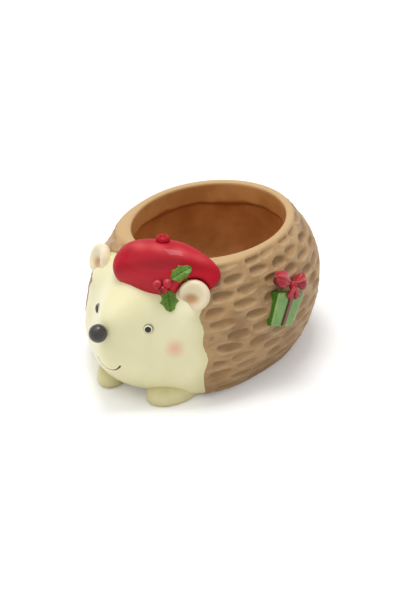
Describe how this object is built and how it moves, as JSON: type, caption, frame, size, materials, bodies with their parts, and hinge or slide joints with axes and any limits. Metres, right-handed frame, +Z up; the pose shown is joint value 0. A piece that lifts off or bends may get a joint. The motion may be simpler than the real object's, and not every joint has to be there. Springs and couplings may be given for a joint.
{
  "type": "animal shaped planter",
  "caption": "Small hedgehog-shaped planter with an oval open-topped body, cream face, beret, holly and a gift relief on its flank.",
  "frame": {"origin": "on the standing surface, under the centre of the oval planting opening", "axes": "-Y to the animal's face, +X to its left side with the gift, +Z up out of the opening"},
  "size_m": [0.1239, 0.1739, 0.091],
  "materials": {
    "brown_body": "matt painted resin, dry-brushed",
    "cream_face": "satin painted resin",
    "black_gloss": "gloss painted resin",
    "red_beret": "satin-gloss painted resin",
    "leaf_green": "gloss painted resin",
    "berry_red": "gloss painted resin",
    "gift_green": "gloss painted resin",
    "ribbon_brown": "matt painted resin",
    "bow_red": "gloss painted resin"
  },
  "bodies": {
    "root": {"pot_shell": "brown_body", "face_shell": "cream_face", "left_ear": "cream_face", "right_ear": "cream_face", "nose": "black_gloss", "left_eye": "black_gloss", "right_eye": "black_gloss", "left_paw": "cream_face", "right_paw": "cream_face", "beret": "red_beret", "beret_stalk": "red_beret", "holly_leaf_upper": "leaf_green", "holly_leaf_lower": "leaf_green", "holly_berries": "berry_red", "gift_box": "gift_green", "gift_ribbon": "ribbon_brown", "bow_left_loop": "bow_red", "bow_right_loop": "bow_red", "bow_knot": "bow_red", "bow_tails": "bow_red"}
  },
  "joints": []
}
